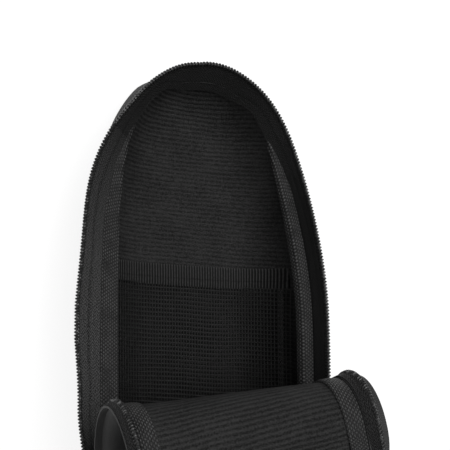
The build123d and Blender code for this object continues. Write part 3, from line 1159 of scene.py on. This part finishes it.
def net_point(x, y):
    """A knot of the net, pulled a little out of square except beside the band."""
    lift = noise.noise(Vector((x * 0.03, y * 0.022, 5.2))) * 0.9
    pull = noise.noise(Vector((x * 0.05, y * 0.05, 8.8))) * 0.5
    rest = floor_height(half_width(y, 0) - abs(x)) + NET_LIFT
    z = max(NET_Z + 0.25 + lift * 0.5, rest)
    return Vector((x, y + pull * max(0, min(1, (BAND_BOTTOM - y) / 10)), z))


def across_threads():
    y = BAND_BOTTOM
    while y > NET_BOTTOM + 4:
        reach = half_width(y, NET_INSET)
        line = [-reach + 2 * reach * i / 40 for i in range(41)]
        yield [net_point(x, y + x * SKEW) for x in line]
        y -= NET_ROW


def down_threads():
    x = -NET_HALF
    while x < NET_HALF + 0.1:
        low = NET_BOTTOM
        while half_width(low, NET_INSET) < abs(x):
            low += 1.0
        top = BAND_BOTTOM + x * SKEW
        count = max(2, round((top - low) / 4))
        yield [net_point(x, low + (top - low) * i / count) for i in range(count + 1)]
        x += NET_COLUMN


def selvage_threads():
    for side in (-1, 1):
        for line in range(3):
            x = side * (SELVAGE_X - SELVAGE_GAP * line)
            yield [net_point(x + 0.35 * math.sin(i * 2.2), -124 + i) + Vector((0, 0, 0.5))
                   for i in range(SELVAGE_LENGTH)]


threads = [*across_threads(), *down_threads(), *selvage_threads()]
net = tubes("pocket_net", threads, NET_THREAD, 8)
finish_piece(net, NET, "mesh", "body", "pocket_mesh")
print("net", len(net.data.polygons), "threads", len(threads))

# %% [markdown]
# ## The pocket's elastic band
# A ribbed elastic ribbon hems the net's top edge. It is held at both ends, so its middle sags
# towards the heel by about a millimetre and its face puffs up between its two edges. A grid
# with those two curves is enough, and the ribs are in its material.

# %% Elastic band
BAND_INSET, BAND_SAG = 8.2, 0.9


def band_place(u, v):
    y = BAND_BOTTOM + (BAND_TOP - BAND_BOTTOM) * v
    reach = half_width(y, BAND_INSET)
    x = -reach + 2 * reach * u
    puff = 0.35 * (1 - abs(2 * v - 1) ** 4) + dent(x, y * 2, 0.35)
    z = max(NET_Z, floor_height(half_width(y, 0) - abs(x)) + 0.9)
    sagged = y + x * SKEW - BAND_SAG * (1 - (x / reach) ** 2)
    return (x, sagged, z + 0.5 + puff), (x, y - BAND_BOTTOM)


band = grid_piece("pocket_elastic", 60, 10, band_place)
apply(band, "SOLIDIFY", thickness=1.1 * MM, offset=0)
face_out(band)
finish_piece(band, ELASTIC, "elastic", "body", "pocket_band")
print("band", len(band.data.polygons))

# %% [markdown]
# ## Stations of the lid's panels
# The lid is one padded panel. Below the roll it stays on the case, then it bends back through
# half a turn, and the flap lies upside down on top. The fold lines lie slightly askew, so a panel
# begins and ends at different heights on its two sides. Its stations run along the rim, and
# the last few at each end are drawn onto the fold line.

# %% Stations of flap and fixed front
WALK_STEP = 0.25


def first_past(base, way, y):
    """Arc length at which the rim, walked from base in small steps, gets as high as y."""
    steps = (base + way * WALK_STEP * i for i in range(400))
    return next(s for s in steps if rim(s)[0].y >= y)


def fitted_spots(start, end, fold, first_side, blended):
    """Stations along the rim whose two ends are drawn onto a fold line."""
    spots = rim_spots(start, end, 3.0)
    last = len(spots) - 1
    for i, spot in enumerate(spots):
        side = first_side if i < len(spots) / 2 else -first_side
        own_end = start if side == first_side else end
        near = max(0.0, 1 - min(i, last - i) / blended)

        def at(inset, s=spot["along"], side=side, near=near, own_end=own_end):
            shift = side_at(fold, inset, side).y - rim(own_end, inset)[0].y
            return rim(s, inset)[0] + Vector((0, shift * near, 0))

        spot["at"] = at
    return spots


flap_start = first_past(ARCH_START, 1, side_at(ROLL_END, 0, 1).y)
flap_end = first_past(LEFT_START, -1, side_at(ROLL_END, 0, -1).y)
FLAP_SPOTS = fitted_spots(flap_start, flap_end, ROLL_END, 1, 6)
for spot in FLAP_SPOTS:
    spot["from_fold"] = min(spot["along"] - flap_start, flap_end - spot["along"])

front_start = LEFT_START + (ARCH_Y - side_at(ROLL_START, 0, -1).y)
front_end = ROUND + (side_at(ROLL_START, 0, 1).y - HEEL_Y)
FRONT_SPOTS = fitted_spots(front_start, front_end, ROLL_START, -1, 5)
print("flap stations", len(FLAP_SPOTS), "front stations", len(FRONT_SPOTS))

# %% [markdown]
# ## Skins of the lid
# Each panel has two skins with foam between: smooth nylon outside and ribbed lining inside. The
# skin of a panel is pulled from its rim up the rounded edge and in to the fold line. A strip of
# the roll has a rounded edge at both sides and is flat between them.

# %% Panels of the lid
PANEL_EDGE_ROWS, ROLL_EDGE_COLUMNS = 0.3, 0.2
OUTSIDE_THICK, INSIDE_THICK = 0.9, 1.2


def roll_place(depth, low, high, uneven):
    def place(u, v):
        across = low + (high - low) * v
        from_edge = min(u, 1 - u)
        if from_edge < ROLL_EDGE_COLUMNS:
            side = 1 if u < 0.5 else -1
            t = from_edge / ROLL_EDGE_COLUMNS
            inset, z, rest = lid_profile(depth, side_at(across, 0, side).y, t)
            point = side_at(across, inset, side)
            flat = side_at(across, FRONT_RADIUS, side)
            return rolled(point + Vector((0, 0, z))), (flat.x + side * rest, flat.y)
        right, left = (side_at(across, FRONT_RADIUS, side) for side in (1, -1))
        point = right.lerp(left, (u - ROLL_EDGE_COLUMNS) / (1 - 2 * ROLL_EDGE_COLUMNS))
        lift = dent(point.x, point.y, uneven)
        return rolled(point + Vector((0, 0, DEPTH - depth + lift))), (point.x, point.y)
    return place


def panel_place(depth, spots, uneven):
    """A panel whose rim follows the spots and whose other edge is the straight fold line."""
    first, last = spots[0]["at"](FRONT_RADIUS), spots[-1]["at"](FRONT_RADIUS)

    def place(u, v):
        spot = spots[round(u * (len(spots) - 1))]
        flat, out = spot["at"](FRONT_RADIUS), spot["out"]
        if v < PANEL_EDGE_ROWS:
            inset, z, rest = lid_profile(depth, spot["at"](0).y, v / PANEL_EDGE_ROWS)
            point = spot["at"](inset)
            unrolled = flat + out * rest
            return rolled(point + Vector((0, 0, z))), (unrolled.x, unrolled.y)
        point = flat.lerp(first.lerp(last, u), (v - PANEL_EDGE_ROWS) / (1 - PANEL_EDGE_ROWS))
        lift = dent(point.x, point.y, uneven)
        return rolled(point + Vector((0, 0, DEPTH - depth + lift))), (point.x, point.y)
    return place


def lid_skin(name, maker, columns, rows, depth, thickness):
    """One skin of the lid, thickened towards the foam between the two skins."""
    obj = grid_piece(name, columns, rows, maker(depth))
    here = Vector(maker(depth)(0.5, 0.6)[0])
    foam = Vector(maker(depth + (1 if depth < WALL / 2 else -1))(0.5, 0.6)[0])
    nearest = min(obj.data.polygons, key=lambda p: (p.center - here * MM).length)
    sign = 1 if nearest.normal.dot(foam - here) > 0 else -1
    apply(obj, "SOLIDIFY", thickness=thickness * MM, offset=sign, use_even_offset=False)
    return face_out(obj)


def skin_pair(names, maker, uneven, grid, body, outside_nodes, inside_nodes):
    """Nylon outside and ribbed lining inside."""
    outside = lid_skin(names[0], lambda d: maker(d, 0.0), *grid, 0.0, OUTSIDE_THICK)
    finish_piece(outside, NYLON, "nylon", body, *outside_nodes)
    inside = lid_skin(names[1], lambda d: maker(d, uneven), *grid, WALL, INSIDE_THICK)
    finish_piece(inside, LID_LINING, "ribbed_lining", body, *inside_nodes)
    return [outside, inside]


print("foam between the skins", round(WALL - OUTSIDE_THICK - INSIDE_THICK, 1), "mm")

# %% [markdown]
# ## The zipper edge of the lid
# On the flap, the lid's tape and coil stand free, to meet those of the body. Beside the roll the
# tape is turned in and sewn down under a hem. Two separate tapes would need a seam between them.
# One tape is used, and each station has a share, from turned in (0) to free (1), that blends it.

# %% Tape and coil of the lid
COIL_STEP = 3.4
UNFURLED_OVER = 34
TURNED_FOOT_Z, TURNED_COIL_Z = 62.3, 60.7
TURNED_RIGHT, TURNED_LEFT = (3.2, -2.6), (-2.4, 1.9)


def unfurled(spot):
    """0 on the roll, where the tape is turned in, and 1 once it stands free on the flap."""
    return smooth(spot.get("from_fold", 0.0) / UNFURLED_OVER)


def lopsided(out):
    """The roll was turned in a little more at its left end."""
    return 2.2 if out.x > 0 else -2.2


def lid_zipper(spot):
    """Foot and coil of the lid's tape on the closed lid."""
    out, share = spot["out"], unfurled(spot)
    foot_inset, coil_inset = TURNED_RIGHT if out.x > 0 else TURNED_LEFT
    turned_foot = spot["at"](foot_inset) + Vector((0, 0, TURNED_FOOT_Z))
    turned_coil = spot["at"](coil_inset) + Vector((0, 0, TURNED_COIL_Z))
    root = spot["at"](TAPE_INSET)
    foot = Vector((root.x, root.y, lid_edge(root.y) - 0.8))
    reach = upright_reach(out)
    rise = math.sqrt(TAPE_WIDTH ** 2 - reach ** 2)
    free = root + out * reach
    free.z = body_edge(root.y) + BINDING_LIFT + rise + COIL_STEP
    return turned_foot.lerp(foot, share), turned_coil.lerp(free, share)


def lid_tape_ends(spot):
    foot, free = lid_zipper(spot)
    return foot, free - (free - foot).normalized() * COIL_OVERLAP


def lid_coil_at(spot):
    foot, free = lid_zipper(spot)
    return free, (free - foot).normalized()


print("tape from its foot to the coil", round(TAPE_WIDTH - COIL_OVERLAP, 1), "mm")

# %% [markdown]
# ## Binding and hem of the lid
# The lid's raw edge is bound like the body's. Beside the roll, where the tape is folded back, a
# hem of nylon covers it, and dies into the binding where the tape comes free. All four kinds of
# edging follow the same stations, so one function can make any of them.

# %% Edging of the lid
LEVEL_WITHIN = 0.1
HEM_REACH = 5.0
EDGE_FINISH = {"binding": (BINDING, "binding"), "hem": (NYLON, "nylon"),
               "tape": (TAPE, "tape"), "coil": (COIL, "coil")}


def hem_section(spot):
    """The folded hem beside the roll, which dies into the binding along the flap."""
    reach = (HEM_REACH + lopsided(spot["out"])) * (1 - unfurled(spot)) + 0.2
    top = lid_edge(spot["at"](0).y)
    if top > LID_EDGE - LEVEL_WITHIN:
        top = LID_EDGE
    return [(-reach, top - 0.3, 0), (-reach - 0.25, top - 0.9, 0.7), (-reach, top - 1.4, 1.2),
            (3.6, top - 1.3, 3.0), (3.8, top - 0.1, 11.0), (0.6, top - 0.05, 14.0)]


def lid_binding_section(spot):
    edge = lid_edge(spot["at"](0).y)
    return crowned(4.0, 13.5, edge, edge - BINDING_THICK)


def lid_edge_piece(kind, name, spots, body, mapping, nodes):
    """One stretch of binding, hem, tape or coil along the lid's edge."""
    if kind in ("binding", "hem"):
        section = lid_binding_section if kind == "binding" else hem_section
        piece = strip(name, spots, section, mapping)
    elif kind == "tape":
        piece = tape_mesh(name, spots, lid_tape_ends, mapping)
    else:
        piece = make_coil(name, spots, lid_coil_at, mapping)
    material, slot = EDGE_FINISH[kind]
    return finish_piece(piece, material, slot, body, *nodes)


def lid_edge_pieces(names, spots, body, mapping=same, **nodes):
    """names says which kinds to make, and nodes what they stand for, both by kind."""
    return [lid_edge_piece(kind, name, spots, body, mapping, nodes.get(kind, ()))
            for kind, name in names.items()]


print("kinds of edging", list(EDGE_FINISH))

# %% [markdown]
# ## Pieces of the roll
# The frame's lid is a chain of stiff boards. Cloth that rode on one board alone would open a gap
# at each fold. Each strip of the roll reaches from the middle of one board to the middle of the
# next. It is made as it lies in the rolled lid and rides on no board.

# %% Roll
ROLL_GRID = (40, 8)

for k in range(1, len(BOARDS)):
    low = ROLL_START + (k - 1) * PITCH
    high = low + PITCH
    last = k == len(BOARDS) - 1
    node = {kind: [] if last else [f"fold_{k}_{kind}"]
            for kind in ("cover", "core", "lining", "binding", "border")}
    parts = skin_pair((f"roll_cover_{k}", f"roll_lining_{k}"),
                      lambda d, uneven, low=low, high=high: roll_place(d, low, high, uneven), 0.5,
                      ROLL_GRID, None, node["cover"] + node["core"], node["lining"])
    for side, hand in ((1, "right"), (-1, "left")):
        names = {kind: f"roll_{kind}_{hand}_{k}" for kind in EDGE_FINISH}
        own = {"binding": node["binding"], "hem": node["border"]} if side > 0 else {}
        parts += lid_edge_pieces(names, fold_spots(low, high, side, 8), None, rolled, **own)
    for piece in parts:
        deselect()
        crease(k - 1)
        crease(k)
        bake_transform(piece)

# %% [markdown]
# ## Flap
# The flap is the free end of the lid. It is stiff, so all of it rides on one body, and it is made
# as it lies in the closed case and carried over by the same roll as the cloth below it. That
# keeps its ribs and its edge in line with the roll's.

# %% Flap pieces
flap = skin_pair(("flap_outside", "flap_inside"),
                 lambda d, uneven: panel_place(d, FLAP_SPOTS, uneven), 0.5,
                 (len(FLAP_SPOTS) - 1, 26), "flap", ("flap_cover", "flap_core"), ("flap_lining",))
flap += lid_edge_pieces(
    {"binding": "flap_edge_binding", "hem": "flap_hem",
     "tape": "flap_zip_tape", "coil": "flap_zip_coil"}, FLAP_SPOTS, "flap", rolled,
    binding=("flap_binding",), tape=("flap_tape",), coil=("flap_coil",))
print("flap pieces", len(flap))

# %% [markdown]
# ## Fixed front
# Below the roll the front never opens. Its panel is sewn to the body round the heel by the heel
# band. The turned-in hem and tape go on for a short way on each side, until they end behind the
# sliders, and then only the binding runs on round the heel.

# %% Fixed front pieces
HEM_END, HEM_END_SKEW = -58.0, 6.0

fixed = skin_pair(("front_outside", "front_inside"),
                  lambda d, uneven: panel_place(d, FRONT_SPOTS, uneven), 0.4,
                  (len(FRONT_SPOTS) - 1, 20), "body", ("front_cover", "front_core"),
                  ("front_lining",))
fixed += lid_edge_pieces({"binding": "front_edge_binding"}, FRONT_SPOTS, "body",
                         binding=("front_binding",))
for side, hand in ((1, "right"), (-1, "left")):
    names = {kind: f"front_{kind}_{hand}" for kind in ("hem", "tape", "coil")}
    spots = fold_spots(HEM_END - side * HEM_END_SKEW, ROLL_START, side, 5)
    own = {"hem": ("front_border",)} if side > 0 else {}
    fixed += lid_edge_pieces(names, spots, "body", **own)
print("front pieces", len(fixed))

# %% [markdown]
# ## The loose side of the zipper
# When the case is zipped, the splayed tape is drawn upright. Its upper end stays sewn to the
# arch. Here the tape and its coil are made as they lie splayed, and ride on no body.

# %% Loose tape and coil
SEWN_FAST, FREE_FROM = Vector((-0.05, 0.112, 0.04)), Vector((-0.065, 0.055, 0.045))

for piece in (loose, loose_teeth):
    deselect()
    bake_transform(piece)
    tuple(SEWN_FAST)
    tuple(FREE_FROM)
print("blended over", round((FREE_FROM - SEWN_FAST).length / MM), "mm")

# %% [markdown]
# ## Metal parts
# The sliders, their pulls and the stops are small castings with crisp edges. They could be
# modelled again, but the CAD solids already have that shape, so they only get their metal.

# %% Hardware
hardware = [f"{part}_{hand}" for part in ("slider", "pull", "stop") for hand in ("right", "left")]
for name in hardware:
    node = frame["nodes"][name]
    node.data.materials.clear()
    node.data.materials.append(METAL)
print("metal pieces", len(hardware))

# %% [markdown]
# ## Floor and light
# Dark cloth shows its weave best under wide, soft light from nearly overhead. A small lamp would
# put hard shadows beside the tape. The floor gives off light of its own, so that it stays pale
# without lamps so strong that they wash out the cloth.

# %% Floor and lights
FLOOR_GLOW = 0.85
WORLD_GLOW = 0.06
LAMPS = {
    "key_light": ((0.42, 0.4, 1.5), (0, 0, 0.03), 1.4, 22),
    "front_light": ((-0.6, -0.3, 1.2), (0, 0, 0.03), 0.9, 3.0),
    "fill_light": ((-1.2, -0.3, 0.35), (0, 0, 0.05), 0.8, 1.6),
}

deselect()
bpy.ops.mesh.primitive_plane_add(size=8, location=(0, 0, 0))
floor = bpy.context.object
floor.name = "floor"
floor.data.materials.append(make_plain(
    "floor_white", grey(0.3), 1.0, Specular_IOR_Level=0.0,
    Emission_Color=(1, 1, 1, 1), Emission_Strength=FLOOR_GLOW))

world = bpy.data.worlds.new("studio")
bpy.context.scene.world = world
world.use_nodes = True
background = world.node_tree.nodes["Background"]
background.inputs[0].default_value = (1, 1, 1, 1)
background.inputs[1].default_value = WORLD_GLOW


def area_light(name, place, aim, size, power):
    light = bpy.data.lights.new(name, "AREA")
    light.size, light.energy = size, power
    lamp = bpy.data.objects.new(name, light)
    bpy.context.collection.objects.link(lamp)
    lamp.location = place
    lamp.rotation_euler = (Vector(aim) - Vector(place)).to_track_quat("-Z", "Y").to_euler()
    return lamp


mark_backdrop(floor, *(area_light(name, *how) for name, how in LAMPS.items()))
print("lamps", len(LAMPS))

# %% [markdown]
# ## Camera
# The camera looks down from nearly overhead with a long lens, a little from the left and from
# the heel. Its three axes are worked out from its line of sight and a small roll, which is
# easier to adjust than three angles that depend on each other.

# %% Camera
EYE = Vector((-0.2617, -0.0832, 1.0)).normalized()
TARGET = Vector((0.00843, 0.06549, 0.055))
DISTANCE, LENS, ROLL = 0.901, 134.9, 0.0096

scene = bpy.context.scene
scene.view_settings.view_transform = "Standard"
camera_data = bpy.data.cameras.new("camera")
camera_data.sensor_width, camera_data.lens, camera_data.clip_end = 36, LENS, 20
camera = bpy.data.objects.new("camera", camera_data)
bpy.context.collection.objects.link(camera)
camera.location = TARGET + EYE * DISTANCE
view = -EYE
right = Matrix.Rotation(ROLL, 3, view) @ view.cross(Vector((0, 1, 0))).normalized()
up = right.cross(view)
camera.matrix_world = Matrix((
    (right.x, up.x, -view.x, camera.location.x),
    (right.y, up.y, -view.y, camera.location.y),
    (right.z, up.z, -view.z, camera.location.z),
    (0, 0, 0, 1),
))
scene.camera = camera
camera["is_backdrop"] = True
print("camera", [round(c, 3) for c in camera.location])

# %% [markdown]
# ## The two boxes
# The cloth should fill the CAD model's box and hardly pass it. Both boxes are written down, so
# that a size that was changed in only one of the two models shows at once.

# %% Sizes
visual_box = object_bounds()
for name, box in (("cad", cad_box), ("visual", visual_box)):
    print(name, "box in mm", [[round(float(c) / MM, 1) for c in corner] for corner in box])

# %% [markdown]
